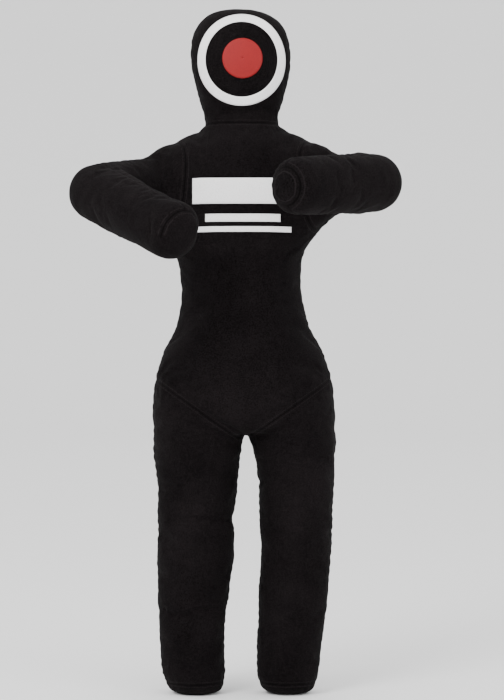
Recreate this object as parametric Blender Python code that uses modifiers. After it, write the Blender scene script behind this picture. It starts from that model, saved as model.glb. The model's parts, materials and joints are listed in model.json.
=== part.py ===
"""Grappling dummy: a stuffed canvas figure, standing, arms bent forward.

Metres, +Z up, the front faces -Y. The origin is under the middle of the figure's outer box.
Every body section is a stuffing core with sewn canvas panels round it. The sections meet at
ball-shaped folds, so that each can swing about the middle of its fold.
"""

import math

import bmesh
import bpy
from mathutils import Matrix, Vector

# Overall layout
BODY_X = 0.008
BODY_Y = 0.140
BODY = Vector((BODY_X, BODY_Y, 0.0))
LEG_Y = BODY_Y - 0.030
CLEAR = 0.0003
CANVAS = 0.001
SKIN = CANVAS + CLEAR
SIDES = 18
LIMB_STEPS = 14
CUP_SCALE = 1.05
FAR = 0.5

# Folds: middle of each one, and the radius of its ball of stuffing
WAIST = Vector((BODY_X, BODY_Y, 0.930))
WAIST_RADIUS = 0.088
WAIST_STRETCH = 1.38
NECK = Vector((BODY_X, BODY_Y, 1.262))
NECK_RADIUS = 0.064
HIP_X = 0.1055
HIP_Z = 0.612
HIP_RADIUS = 0.088
KNEE_Z = 0.358
KNEE_RADIUS = 0.074
SHOULDER_RADIUS = 0.060
ELBOW_RADIUS = 0.057

# Folding room, in degrees, on the side that closes
WAIST_FRONT = 21.0
WAIST_BACK = 6.0
KNEE_HALF = 46.0
ELBOW_HALF = 50.0
GROIN_FRONT = 42.0
LIMB_CONE = 60.0

# Arms: shoulder, elbow and hand centres for the dummy's left (+X) and right (-X)
ARMS = {
    "left": ((0.190, -0.004, 1.130), (0.279, -0.192, 1.119), (0.122, -0.346, 1.101)),
    "right": ((-0.190, -0.004, 1.130), (-0.311, -0.184, 1.106), (-0.156, -0.346, 1.017)),
}
UPPER_ARM_RADIUS = 0.067
FOREARM_RADIUS = 0.064
HAND_ROUNDING = [(0.026, 0.061), (0.046, 0.056), (0.058, 0.044)]
HAND_PATCH = 0.042

# Legs: height and radius of the tube
LEG_ROWS = [
    (0.560, 0.0985),
    (0.524, 0.0945),
    (0.488, 0.0900),
    (0.452, 0.0855),
    (0.398, 0.0815),
    (0.327, 0.0800),
    (0.291, 0.0790),
    (0.255, 0.0770),
    (0.184, 0.0730),
    (0.112, 0.0695),
    (0.040, 0.0665),
    (0.016, 0.0600),
    (0.004, 0.0490),
]
SOLE_RADIUS = 0.047

# Torso and head: height, half width, half depth
PELVIS_ROWS = [
    (0.945, 0.1330, 0.1000),
    (0.900, 0.1320, 0.1000),
    (0.864, 0.1340, 0.1020),
    (0.810, 0.1490, 0.1100),
    (0.757, 0.1770, 0.1200),
    (0.703, 0.1940, 0.1290),
    (0.650, 0.1990, 0.1320),
    (0.600, 0.2030, 0.1320),
]
CHEST_ROWS = [
    (1.256, 0.0740, 0.0440),
    (1.240, 0.1000, 0.0600),
    (1.222, 0.1250, 0.0840),
    (1.200, 0.1420, 0.1040),
    (1.150, 0.1500, 0.1200),
    (1.061, 0.1560, 0.1127),
    (1.025, 0.1560, 0.1098),
    (0.972, 0.1400, 0.1055),
    (0.920, 0.1330, 0.1012),
]
HEAD_ROWS = [
    (1.5195, 0.0060, 0.0050),
    (1.5175, 0.0280, 0.0240),
    (1.509, 0.0640, 0.0560),
    (1.491, 0.0860, 0.0770),
    (1.473, 0.1000, 0.0890),
    (1.450, 0.1080, 0.0970),
    (1.410, 0.1110, 0.1000),
    (1.383, 0.1080, 0.0990),
    (1.348, 0.1000, 0.0930),
    (1.312, 0.0900, 0.0850),
    (1.286, 0.0820, 0.0770),
]
ROUNDNESS = 2.3

# Prints
TARGET_Z = 1.399
RING_OUT = (0.0960, 0.1010)
RING_IN = (0.0790, 0.0825)
SPOT_RADIUS = 0.044
PRINT = 0.0006
CHEST_BARS = {
    "print_bar_top": (1.080, 1.136, 0.110),
    "print_bar_middle": (1.041, 1.058, 0.082),
    "print_bar_low": (1.019, 1.031, 0.106),
}

# Back zip: it runs along the straight part of the chest's back
ZIP_TOP = 1.140
ZIP_BOTTOM = 0.978
TAPE_WIDTH = 0.015
TAPE_THICK = 0.0009
CHAIN_WIDTH = 0.0080
CHAIN_THICK = 0.0026
SLIDER_SIZE = (0.0130, 0.0180, 0.0066)
PULL_SIZE = (0.0090, 0.0320, 0.0016)

COLOURS = {
    "canvas": (0.011, 0.009, 0.009, 1.0),
    "stuffing": (0.30, 0.30, 0.31, 1.0),
    "print_white": (0.80, 0.79, 0.79, 1.0),
    "print_red": (0.68, 0.013, 0.018, 1.0),
    "tape": (0.014, 0.014, 0.015, 1.0),
    "metal": (0.48, 0.47, 0.45, 1.0),
}


def clear_scene():
    for obj in list(bpy.data.objects):
        bpy.data.objects.remove(obj)
    bpy.context.scene.unit_settings.scale_length = 1.0


def collections():
    parts = bpy.data.collections.new("grappling_dummy")
    cutters = bpy.data.collections.new("cutters")
    for found in (parts, cutters):
        bpy.context.scene.collection.children.link(found)
    cutters.hide_render = True
    return parts, cutters


clear_scene()
PARTS, CUTTERS = collections()


def material(name, look):
    made = bpy.data.materials.new("mat_" + name)
    made.use_nodes = True
    made.diffuse_color = COLOURS[look]
    shader = made.node_tree.nodes["Principled BSDF"]
    shader.inputs["Base Color"].default_value = COLOURS[look]
    shader.inputs["Roughness"].default_value = 0.35 if look == "metal" else 0.85
    shader.inputs["Metallic"].default_value = 1.0 if look == "metal" else 0.0
    return made


def helper(name, mesh):
    obj = bpy.data.objects.new(name, mesh)
    CUTTERS.objects.link(obj)
    obj.display_type = "WIRE"
    obj.hide_render = True
    return obj


def baked(obj):
    """The object's mesh with its modifiers and its placement applied."""
    bpy.context.view_layer.update()
    graph = bpy.context.evaluated_depsgraph_get()
    mesh = bpy.data.meshes.new_from_object(obj.evaluated_get(graph))
    mesh.transform(obj.matrix_world)
    if obj.matrix_world.determinant() < 0:
        mesh.flip_normals()
    return mesh


def piece(name, look, mesh, origin=None):
    """A finished sub-part, with its origin on the joint that carries it."""
    obj = bpy.data.objects.new(name, mesh)
    PARTS.objects.link(obj)
    mesh.materials.clear()
    mesh.materials.append(material(name, look))
    if origin is not None:
        mesh.transform(Matrix.Translation(-origin))
        obj.location = origin
    mesh.shade_smooth()
    mesh.set_sharp_from_angle(angle=math.radians(35.0))
    return obj


def boolean(mesh, cutters, operation="DIFFERENCE"):
    """The mesh after every cutter's exact Boolean."""
    obj = helper("work", mesh)
    for cutter in cutters:
        modifier = obj.modifiers.new(cutter.name, "BOOLEAN")
        modifier.operation = operation
        modifier.object = cutter
        modifier.solver = "EXACT"
    made = baked(obj)
    bpy.data.objects.remove(obj)
    return tidy(made)


def tidy(mesh):
    """Removes the slivers that a Boolean can leave."""
    work = bmesh.new()
    work.from_mesh(mesh)
    bmesh.ops.remove_doubles(work, verts=work.verts, dist=0.00002)
    bmesh.ops.dissolve_degenerate(work, edges=work.edges, dist=0.00002)
    work.to_mesh(mesh)
    work.free()
    return mesh


def ball(name, centre, radius, stretch=1.0):
    """A ball, stretched along X."""
    work = bmesh.new()
    bmesh.ops.create_uvsphere(work, u_segments=16, v_segments=10, radius=radius)
    turn = Matrix.Rotation(math.radians(90.0), 4, "Y")
    bmesh.ops.transform(work, matrix=turn, verts=work.verts)
    bmesh.ops.scale(work, vec=(stretch, 1.0, 1.0), verts=work.verts)
    bmesh.ops.translate(work, vec=centre, verts=work.verts)
    mesh = bpy.data.meshes.new(name)
    work.to_mesh(mesh)
    work.free()
    return mesh


def prism(name, outline, half_length, frame):
    """A cutter: the outline, in the frame's Y and Z, drawn out both ways along its X."""
    work = bmesh.new()
    ring = [work.verts.new((-half_length, y, z)) for y, z in outline]
    face = work.faces.new(ring)
    moved = bmesh.ops.extrude_face_region(work, geom=[face])["geom"]
    far = [item for item in moved if isinstance(item, bmesh.types.BMVert)]
    bmesh.ops.translate(work, vec=(2 * half_length, 0, 0), verts=far)
    bmesh.ops.recalc_face_normals(work, faces=work.faces)
    mesh = bpy.data.meshes.new(name)
    work.to_mesh(mesh)
    work.free()
    mesh.transform(frame)
    return helper(name, mesh)


def tangent(degrees):
    return math.tan(math.radians(degrees))


def lower_cut(name, frame, front, back, half_length=FAR):
    """Takes away what lies below a fold, as well as the room for it to close on each side."""
    drop = 0.0005
    outline = [
        (0.0, drop),
        (-FAR, drop + FAR * tangent(front)),
        (-FAR, -FAR),
        (FAR, -FAR),
        (FAR, drop + FAR * tangent(back)),
    ]
    return prism(name, outline, half_length, frame)


def upper_cut(name, frame, front, back, half_length=FAR):
    """Takes away what lies above a fold, as well as the room for it to close on each side."""
    rise = 0.0005
    outline = [
        (0.0, -rise),
        (FAR, -rise - FAR * tangent(back)),
        (FAR, FAR),
        (-FAR, FAR),
        (-FAR, -rise - FAR * tangent(front)),
    ]
    return prism(name, outline, half_length, frame)


def at(point):
    return Matrix.Translation(point)


def tube_frame(start, along, hinge):
    """A frame at start whose -Z runs along the limb and whose X is the hinge."""
    up = -Vector(along).normalized()
    side = Vector(hinge).normalized()
    turn = Matrix((side, up.cross(side), up)).transposed().to_4x4()
    return Matrix.Translation(start) @ turn


# Torso and head: lofts between sections whose width and depth change on their own


def section(half_width, half_depth, count, first, last):
    """Points of a rounded section from one angle to the other, in degrees."""
    points = []
    for step in range(count + 1):
        angle = math.radians(first + (last - first) * step / count)
        across = math.copysign(abs(math.cos(angle)) ** (2 / ROUNDNESS), math.cos(angle))
        deep = math.copysign(abs(math.sin(angle)) ** (2 / ROUNDNESS), math.sin(angle))
        points.append((half_width * across, half_depth * deep))
    return points


def slant(rows, index, column):
    """How much further in a sloping surface lies than an upright one, for the same gap."""
    steepest = 1.0
    for first, second in ((index - 1, index), (index, index + 1)):
        if first < 0 or second >= len(rows):
            continue
        rise = abs(rows[first][0] - rows[second][0])
        run = abs(rows[first][column] - rows[second][column])
        steepest = max(steepest, math.hypot(rise, run) / rise)
    return steepest


def loft_solid(name, rows, inset):
    """A closed loft through the rows, set in by the thickness of the canvas."""
    work = bmesh.new()
    rings = []
    for index, (z, half_width, half_depth) in enumerate(rows):
        width = half_width - inset * 1.04 * slant(rows, index, 1)
        depth = half_depth - inset * 1.04 * slant(rows, index, 2)
        points = section(width, depth, SIDES, 0.0, 360.0)[:-1]
        rings.append([work.verts.new((BODY_X + x, BODY_Y + y, z)) for x, y in points])
    for upper, lower in zip(rings, rings[1:]):
        for step in range(SIDES):
            after = (step + 1) % SIDES
            work.faces.new((upper[step], lower[step], lower[after], upper[after]))
    work.faces.new(rings[0])
    work.faces.new(reversed(rings[-1]))
    bmesh.ops.recalc_face_normals(work, faces=work.faces)
    mesh = bpy.data.meshes.new(name)
    work.to_mesh(mesh)
    work.free()
    return mesh


def loft_panel(name, rows, front, outset=0.0, thickness=CANVAS):
    """Half of the canvas round a loft, from side seam to side seam."""
    side = -1.0 if front else 1.0
    work = bmesh.new()
    rings = []
    for index, (z, half_width, half_depth) in enumerate(rows):
        width = half_width + outset * 1.04 * slant(rows, index, 1)
        depth = half_depth + outset * 1.04 * slant(rows, index, 2)
        points = section(width, depth, SIDES // 2, 0.0, 180.0)
        ring = []
        for x, y in points:
            ring.append(work.verts.new((BODY_X + x, BODY_Y + side * max(y, CLEAR), z)))
        rings.append(ring)
    for upper, lower in zip(rings, rings[1:]):
        for step in range(SIDES // 2):
            corners = (upper[step], lower[step], lower[step + 1], upper[step + 1])
            work.faces.new(corners if not front else tuple(reversed(corners)))
    mesh = bpy.data.meshes.new(name)
    work.to_mesh(mesh)
    work.free()
    return thickened(name, mesh, thickness)


def thickened(name, mesh, thickness):
    """The sheet as a solid, grown inwards from its outer face."""
    obj = helper(name, mesh)
    modifier = obj.modifiers.new("thickness", "SOLIDIFY")
    modifier.thickness = thickness
    modifier.offset = -1.0
    modifier.use_even_offset = True
    made = baked(obj)
    bpy.data.objects.remove(obj)
    return made


# Limbs: round tubes turned about their own axis


def turned(name, profile, first, sweep, steps, frame):
    """The profile of (radius, height) points turned about the frame's Z."""
    mesh = bpy.data.meshes.new(name)
    points = [(radius, 0.0, z) for radius, z in profile]
    mesh.from_pydata(points, [(k, k + 1) for k in range(len(points) - 1)], [])
    obj = helper(name, mesh)
    modifier = obj.modifiers.new("turn", "SCREW")
    modifier.angle = math.radians(sweep)
    modifier.steps = steps
    modifier.render_steps = steps
    modifier.use_merge_vertices = True
    modifier.merge_threshold = 0.00005
    made = baked(obj)
    bpy.data.objects.remove(obj)
    made.transform(frame @ Matrix.Rotation(math.radians(first), 4, "Z"))
    return made


def outward(mesh):
    work = bmesh.new()
    work.from_mesh(mesh)
    bmesh.ops.recalc_face_normals(work, faces=work.faces)
    work.to_mesh(mesh)
    work.free()
    return mesh


def limb_core(name, rows, frame, top_cap=None):
    """The stuffing of a limb: rows of (distance along, radius), closed on its axis."""
    inner = []
    for index, (along, radius) in enumerate(rows):
        inner.append((radius - SKIN * slant(rows, index, 1), -along))
    profile = [(0.0, inner[0][1])] + inner + [(0.0, inner[-1][1])]
    return outward(turned(name, profile, 0.0, 360.0, LIMB_STEPS, frame))


def limb_panel(name, rows, frame, front):
    """Half of the canvas round a limb. The front half lies on the frame's -Y side."""
    gap = math.degrees(CLEAR / rows[0][1])
    first = (180.0 if front else 0.0) + gap
    profile = [(radius, -along) for along, radius in rows]
    mesh = turned(name, profile, first, 180.0 - 2 * gap, LIMB_STEPS // 2, frame)
    return thickened_outward(name, mesh, frame)


def thickened_outward(name, mesh, frame):
    """Turns the sheet's faces away from the limb's axis, then gives it its thickness."""
    origin = frame.to_translation()
    axis = frame.to_3x3().col[2]
    work = bmesh.new()
    work.from_mesh(mesh)
    work.faces.ensure_lookup_table()
    face = max(work.faces, key=lambda item: item.calc_area())
    away = face.calc_center_median() - origin
    away -= axis * away.dot(axis)
    if face.normal.dot(away) < 0:
        bmesh.ops.reverse_faces(work, faces=work.faces)
    work.to_mesh(mesh)
    work.free()
    return thickened(name, mesh, CANVAS)


def joined(mesh, others):
    return boolean(mesh, [helper("part", other) for other in others], "UNION")


def cup(name, centre, radius, stretch=1.0):
    return helper(name, ball(name, centre, radius * CUP_SCALE, stretch))


def cone_rows(rows, start):
    """The limb's rows from start on, with its first row put at start."""
    later = [row for row in rows if row[0] > start + 0.004]
    return [(start, radius_at(rows, start))] + later


def radius_at(rows, along):
    for (near, first), (far, second) in zip(rows, rows[1:]):
        if near <= along <= far:
            return first + (second - first) * (along - near) / (far - near)
    return rows[0][1] if along < rows[0][0] else rows[-1][1]


def cut_rows(rows, end):
    """The limb's rows up to end, with its last row put there."""
    earlier = [row for row in rows if row[0] < end - 0.004]
    return earlier + [(end, radius_at(rows, end))]


def pieces_of(body, core, panels, origin):
    """The stuffing and the two panels of one section, as finished sub-parts."""
    piece(body + "_stuffing", "stuffing", core, origin)
    for side, mesh in panels.items():
        piece(body + "_" + side + "_panel", "canvas", mesh, origin)


# Pelvis


def build_pelvis():
    hips = [Vector((BODY_X + side * HIP_X, LEG_Y, HIP_Z)) for side in (-1.0, 1.0)]
    cups = [cup("hip_cup", centre, HIP_RADIUS) for centre in hips]
    waist = upper_cut("waist_lower_cut", at(WAIST), WAIST_FRONT, WAIST_BACK)
    hip_line = at(Vector((0.0, LEG_Y, HIP_Z + 0.004)))
    groin = lower_cut("groin_cut", hip_line, GROIN_FRONT, 0.0)
    roll = ball("waist_roll", WAIST, WAIST_RADIUS, WAIST_STRETCH)
    core = boolean(loft_solid("core", PELVIS_ROWS, SKIN), [waist, groin])
    core = boolean(joined(core, [roll]), cups)
    panels = {}
    for side in ("front", "back"):
        shell = loft_panel("panel", PELVIS_ROWS, side == "front")
        panels[side] = boolean(shell, [waist, groin] + cups)
    pieces_of("pelvis", core, panels, WAIST)


# Chest, its print and its zip


def chest_cuts():
    waist = lower_cut("waist_upper_cut", at(WAIST), WAIST_FRONT, WAIST_BACK)
    cups = [cup("waist_cup", WAIST, WAIST_RADIUS, WAIST_STRETCH), cup("neck_cup", NECK, NECK_RADIUS)]
    for shoulder, _, _ in ARMS.values():
        centre = Vector(shoulder) + BODY
        cups.append(cup("shoulder_cup", centre, SHOULDER_RADIUS))
    return [waist] + cups


def build_chest():
    cuts = chest_cuts()
    core = boolean(loft_solid("core", CHEST_ROWS, SKIN), cuts)
    panels = {}
    for side in ("front", "back"):
        panels[side] = boolean(loft_panel("panel", CHEST_ROWS, side == "front"), cuts)
    pieces_of("chest", core, panels, WAIST)


def block(name, low, high):
    work = bmesh.new()
    bmesh.ops.create_cube(work, size=1.0)
    size = Vector(high) - Vector(low)
    bmesh.ops.scale(work, vec=size, verts=work.verts)
    bmesh.ops.translate(work, vec=(Vector(high) + Vector(low)) / 2, verts=work.verts)
    mesh = bpy.data.meshes.new(name)
    work.to_mesh(mesh)
    work.free()
    return mesh


def print_layer(rows):
    """A thin skin just in front of the canvas, from which the prints are cut."""
    return loft_panel("layer", rows, True, CLEAR + PRINT, PRINT)


def build_chest_print():
    for name, (low, high, half_width) in CHEST_BARS.items():
        corners = (BODY_X - half_width, -FAR, low), (BODY_X + half_width, BODY_Y, high)
        box = helper(name + "_box", block("box", *corners))
        mesh = boolean(print_layer(CHEST_ROWS), [box], "INTERSECT")
        piece(name, "print_white", mesh, WAIST)


def disc(name, half_width, half_height):
    """A cutter: an oval rod along Y, in front of the face."""
    work = bmesh.new()
    bmesh.ops.create_cone(
        work, cap_ends=True, segments=28, radius1=1.0, radius2=1.0, depth=FAR
    )
    bmesh.ops.scale(work, vec=(half_width, half_height, 1.0), verts=work.verts)
    turn = Matrix.Rotation(math.radians(90.0), 4, "X")
    bmesh.ops.transform(work, matrix=turn, verts=work.verts)
    bmesh.ops.translate(work, vec=(BODY_X, BODY_Y - FAR / 2, TARGET_Z), verts=work.verts)
    mesh = bpy.data.meshes.new(name)
    work.to_mesh(mesh)
    work.free()
    return helper(name, mesh)


def build_head():
    neck = cup("head_cup", NECK, NECK_RADIUS)
    crown = [(HEAD_ROWS[1][0] - 0.0022,) + HEAD_ROWS[1][1:]]
    core = boolean(loft_solid("core", crown + HEAD_ROWS[2:], SKIN), [neck])
    panels = {}
    for side in ("front", "back"):
        panels[side] = boolean(loft_panel("panel", HEAD_ROWS, side == "front"), [neck])
    pieces_of("head", core, panels, NECK)
    ring = boolean(print_layer(HEAD_ROWS), [disc("ring_out", *RING_OUT)], "INTERSECT")
    piece("target_ring", "print_white", boolean(ring, [disc("ring_in", *RING_IN)]), NECK)
    spot = disc("spot_rod", SPOT_RADIUS, SPOT_RADIUS)
    piece("target_spot", "print_red", boolean(print_layer(HEAD_ROWS), [spot], "INTERSECT"), NECK)


def back_depth(z):
    for (top, _, first), (low, _, second) in zip(CHEST_ROWS, CHEST_ROWS[1:]):
        if low <= z <= top:
            return second + (first - second) * (z - low) / (top - low)
    return CHEST_ROWS[-1][2]


def zip_frame():
    """Origin at the top end of the zip, Z up along it and Y away from the back."""
    flat = math.sin(math.radians(80.0)) ** (2 / ROUNDNESS)
    top = Vector((BODY_X, BODY_Y + back_depth(ZIP_TOP) * flat, ZIP_TOP))
    low = Vector((BODY_X, BODY_Y + back_depth(ZIP_BOTTOM) * flat, ZIP_BOTTOM))
    up = (top - low).normalized()
    side = Vector((1.0, 0.0, 0.0))
    turn = Matrix((side, up.cross(side), up)).transposed().to_4x4()
    return Matrix.Translation(top) @ turn, (top - low).length


def placed(mesh, frame):
    mesh.transform(frame)
    return mesh


def bevelled(mesh, width):
    work = bmesh.new()
    work.from_mesh(mesh)
    bmesh.ops.bevel(
        work, geom=work.edges[:], offset=width, segments=1, affect="EDGES", profile=0.5
    )
    work.to_mesh(mesh)
    work.free()
    return mesh


def build_zip():
    frame, length = zip_frame()
    tape_low = CLEAR
    tape_high = tape_low + TAPE_THICK
    chain_low = tape_high + CLEAR
    chain_high = chain_low + CHAIN_THICK
    for name, side in (("zip_tape_left", 1.0), ("zip_tape_right", -1.0)):
        near, far = sorted((side * CLEAR / 2, side * TAPE_WIDTH))
        mesh = block(name, (near, tape_low, -length), (far, tape_high, 0.0))
        piece(name, "tape", placed(mesh, frame), WAIST)
    half = CHAIN_WIDTH / 2
    stop = 0.006
    mesh = block("chain", (-half, chain_low, -length + stop + 0.001), (half, chain_high, -stop - 0.001))
    piece("zip_chain", "metal", placed(toothed(mesh, length - 2 * stop), frame), WAIST)
    for name, low in (("zip_top_stop", -stop), ("zip_bottom_stop", -length + 0.0004)):
        mesh = block(name, (-half, chain_low, low), (half, chain_high, low + stop - 0.0004))
        piece(name, "metal", placed(bevelled(mesh, 0.0005), frame), WAIST)
    build_slider(frame, chain_high, tape_high)


def toothed(mesh, length):
    """Notches along both edges of the chain, one for each tooth."""
    pitch = 0.0060
    half = CHAIN_WIDTH / 2
    cutters = []
    low = min(vertex.co.z for vertex in mesh.vertices)
    for step in range(1, int(length / pitch)):
        z = low + step * pitch
        for side in (-1.0, 1.0):
            centre = side * half
            box = block("notch", (centre - 0.0014, 0.0, z - 0.0012), (centre + 0.0014, 0.01, z + 0.0012))
            cutters.append(box)
    work = bmesh.new()
    for box in cutters:
        work.from_mesh(box)
    whole = bpy.data.meshes.new("notches")
    work.to_mesh(whole)
    work.free()
    return boolean(mesh, [helper("notches", whole)])


def build_slider(frame, chain_high, tape_high):
    width, tall, thick = SLIDER_SIZE
    low = tape_high + CLEAR
    top = -0.0068
    centre = frame @ Vector((0.0, chain_high + 0.001, top - tall / 2))
    body = bevelled(block("slider", (-width / 2, low, top - tall), (width / 2, low + thick, top)), 0.0008)
    half = CHAIN_WIDTH / 2 + 0.0005
    channel = block("channel", (-half, -0.01, -1.0), (half, chain_high + 0.0005, 1.0))
    body = boolean(body, [helper("channel", channel)])
    bridge_high = low + thick
    lugs = []
    for side in (-1.0, 1.0):
        near, far = sorted((side * 0.0026, side * 0.0044))
        foot = (near, bridge_high - 0.001, top - 0.0110)
        lug = block("lug", foot, (far, bridge_high + 0.0042, top - 0.0050))
        lugs.append(helper("lug", lug))
    body = boolean(body, lugs, "UNION")
    piece("zip_slider", "metal", placed(body, frame), centre)
    build_pull(frame, bridge_high, top - 0.0080)


def build_pull(frame, slider_high, pin_z):
    """The tab hangs from a pin between the slider's two lugs."""
    width, tall, thick = PULL_SIZE
    pin_y = slider_high + 0.0022
    pin = frame @ Vector((0.0, pin_y, pin_z))
    neck = block(
        "neck", (-0.0022, pin_y - thick / 2, pin_z - 0.0080), (0.0022, pin_y + thick / 2, pin_z + 0.0008)
    )
    tab = block(
        "tab",
        (-width / 2, pin_y - thick / 2, pin_z - 0.0070 - tall),
        (width / 2, pin_y + thick / 2, pin_z - 0.0070),
    )
    body = boolean(bevelled(tab, 0.0004), [helper("neck", neck)], "UNION")
    slot = block(
        "slot", (-0.002, -1.0, pin_z - 0.0070 - tall + 0.005), (0.002, 1.0, pin_z - 0.0070 - tall + 0.015)
    )
    body = boolean(body, [helper("slot", slot)])
    piece("zip_pull", "metal", placed(body, frame), pin)


# Neck, shoulders and hips: the balls of stuffing that the folds turn about


def build_balls():
    piece("neck_stuffing", "stuffing", ball("neck", NECK, NECK_RADIUS), NECK)
    for side, points in ARMS.items():
        centre = Vector(points[0]) + BODY
        mesh = ball("shoulder", centre, SHOULDER_RADIUS)
        piece("shoulder_" + side + "_stuffing", "stuffing", mesh, centre)
    for side, sign in (("left", 1.0), ("right", -1.0)):
        centre = Vector((BODY_X + sign * HIP_X, LEG_Y, HIP_Z))
        piece("hip_" + side + "_stuffing", "stuffing", ball("hip", centre, HIP_RADIUS), centre)


# Arms


def build_arm(side):
    shoulder, elbow, hand = (Vector(point) + BODY for point in ARMS[side])
    upper = elbow - shoulder
    lower = hand - elbow
    hinge = upper.cross(lower)
    build_upper_arm(side, shoulder, elbow, hinge)
    build_forearm(side, elbow, hand, hinge)


def build_upper_arm(side, shoulder, elbow, hinge):
    length = (elbow - shoulder).length
    frame = tube_frame(shoulder, elbow - shoulder, hinge)
    start = UPPER_ARM_RADIUS / tangent(LIMB_CONE)
    rows = [(start, UPPER_ARM_RADIUS), (length / 2, UPPER_ARM_RADIUS), (length + 0.05, UPPER_ARM_RADIUS)]
    elbow_frame = tube_frame(elbow, elbow - shoulder, hinge)
    fold = lower_cut("elbow_cut", elbow_frame, 0.0, ELBOW_HALF)
    socket = cup("shoulder_socket", shoulder, SHOULDER_RADIUS)
    core = boolean(limb_core("core", rows, frame), [fold, socket])
    core = joined(core, [ball("elbow_ball", elbow, ELBOW_RADIUS)])
    panels = {}
    for name, front in (("outer", True), ("inner", False)):
        panels[name] = boolean(limb_panel("panel", rows, frame, front), [fold, socket])
    pieces_of("upper_arm_" + side, core, panels, shoulder)


def build_forearm(side, elbow, hand, hinge):
    length = (hand - elbow).length
    frame = tube_frame(elbow, hand - elbow, hinge)
    rows = [(0.0, FOREARM_RADIUS), (0.10, FOREARM_RADIUS), (length, FOREARM_RADIUS)]
    rows += [(length + further, radius) for further, radius in HAND_ROUNDING]
    fold = upper_cut("elbow_cut", frame, 0.0, ELBOW_HALF)
    socket = cup("elbow_socket", elbow, ELBOW_RADIUS)
    core = boolean(limb_core("core", rows, frame), [fold, socket])
    panels = {}
    for name, front in (("outer", True), ("inner", False)):
        panels[name] = boolean(limb_panel("panel", rows, frame, front), [fold, socket])
    pieces_of("forearm_" + side, core, panels, elbow)
    end = -rows[-1][0]
    profile = [(0.0, end), (HAND_PATCH, end), (HAND_PATCH, end - CANVAS), (0.0, end - CANVAS)]
    patch = outward(turned("patch", profile, 0.0, 360.0, LIMB_STEPS, frame @ at((0.0, 0.0, -CLEAR))))
    piece("forearm_" + side + "_end_patch", "canvas", patch, elbow)


# Legs


def build_leg(side, sign):
    hip = Vector((BODY_X + sign * HIP_X, LEG_Y, HIP_Z))
    knee = Vector((BODY_X + sign * HIP_X, LEG_Y, KNEE_Z))
    down = Vector((0.0, 0.0, -1.0))
    hinge = Vector((1.0, 0.0, 0.0))
    rows = [(HIP_Z - z, radius) for z, radius in LEG_ROWS]
    thigh_frame = tube_frame(hip, down, hinge)
    knee_frame = tube_frame(knee, down, hinge)
    start = 0.0985 / tangent(LIMB_CONE)
    thigh_rows = cut_rows(cone_rows(rows, start), HIP_Z - KNEE_Z + 0.05)
    fold = lower_cut("knee_upper_cut", knee_frame, 0.0, KNEE_HALF)
    socket = cup("hip_socket", hip, HIP_RADIUS)
    core = boolean(limb_core("core", thigh_rows, thigh_frame), [fold, socket])
    core = joined(core, [ball("knee_ball", knee, KNEE_RADIUS)])
    panels = {}
    for name, front in (("front", True), ("back", False)):
        panels[name] = boolean(limb_panel("panel", thigh_rows, thigh_frame, front), [fold, socket])
    pieces_of("thigh_" + side, core, panels, hip)
    build_shin(side, knee, knee_frame)


def build_shin(side, knee, frame):
    rows = [(KNEE_Z - z, radius) for z, radius in LEG_ROWS if z < KNEE_Z]
    rows = [(0.0, 0.0805)] + rows
    fold = upper_cut("knee_lower_cut", frame, 0.0, KNEE_HALF)
    socket = cup("knee_socket", knee, KNEE_RADIUS)
    core = boolean(limb_core("core", rows, frame), [fold, socket])
    panels = {}
    for name, front in (("front", True), ("back", False)):
        panels[name] = boolean(limb_panel("panel", rows, frame, front), [fold, socket])
    pieces_of("shin_" + side, core, panels, knee)
    profile = [(0.0, CANVAS), (SOLE_RADIUS, CANVAS), (SOLE_RADIUS, 0.0), (0.0, 0.0)]
    sole_frame = at(Vector((knee.x, knee.y, 0.0)))
    sole = outward(turned("sole", profile, 0.0, 360.0, LIMB_STEPS, sole_frame))
    piece("shin_" + side + "_end_patch", "canvas", sole, knee)


build_pelvis()
build_chest()
build_chest_print()
build_zip()
build_head()
build_balls()
for name in ARMS:
    build_arm(name)
build_leg("left", 1.0)
build_leg("right", -1.0)
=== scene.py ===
"""Looks of the grappling dummy: one sewn canvas skin, parted into pieces at the frame's joints."""

import json
import math

import bmesh
import bpy
import numpy as np
from mathutils import Matrix, Vector, noise
from mathutils.bvhtree import BVHTree


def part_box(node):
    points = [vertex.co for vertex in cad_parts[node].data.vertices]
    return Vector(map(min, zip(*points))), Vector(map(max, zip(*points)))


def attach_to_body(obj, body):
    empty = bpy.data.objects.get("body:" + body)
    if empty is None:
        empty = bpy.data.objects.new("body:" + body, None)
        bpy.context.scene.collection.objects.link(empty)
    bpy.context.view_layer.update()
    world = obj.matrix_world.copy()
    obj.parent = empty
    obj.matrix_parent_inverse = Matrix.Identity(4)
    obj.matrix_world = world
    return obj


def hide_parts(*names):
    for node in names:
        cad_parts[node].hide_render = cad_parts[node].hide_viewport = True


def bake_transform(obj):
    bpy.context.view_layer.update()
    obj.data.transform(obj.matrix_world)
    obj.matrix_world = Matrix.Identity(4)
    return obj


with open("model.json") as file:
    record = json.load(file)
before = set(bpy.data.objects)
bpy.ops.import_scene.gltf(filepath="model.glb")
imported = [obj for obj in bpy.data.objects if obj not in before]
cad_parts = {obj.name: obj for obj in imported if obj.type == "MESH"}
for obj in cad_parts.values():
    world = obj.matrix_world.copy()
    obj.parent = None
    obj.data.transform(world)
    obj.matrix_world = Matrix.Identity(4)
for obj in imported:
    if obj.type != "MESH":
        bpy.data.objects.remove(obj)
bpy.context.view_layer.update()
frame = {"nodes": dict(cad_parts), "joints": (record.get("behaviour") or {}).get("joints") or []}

JOINTS = {joint["name"]: joint for joint in frame["joints"]}
SIDES = {"left": 1.0, "right": -1.0}
ACROSS = Vector((1.0, 0.0, 0.0))
DEEP = Vector((0.0, 1.0, 0.0))
UP = Vector((0.0, 0.0, 1.0))


def joint_place(name):
    return Vector(JOINTS[name]["pos_m"])


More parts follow.
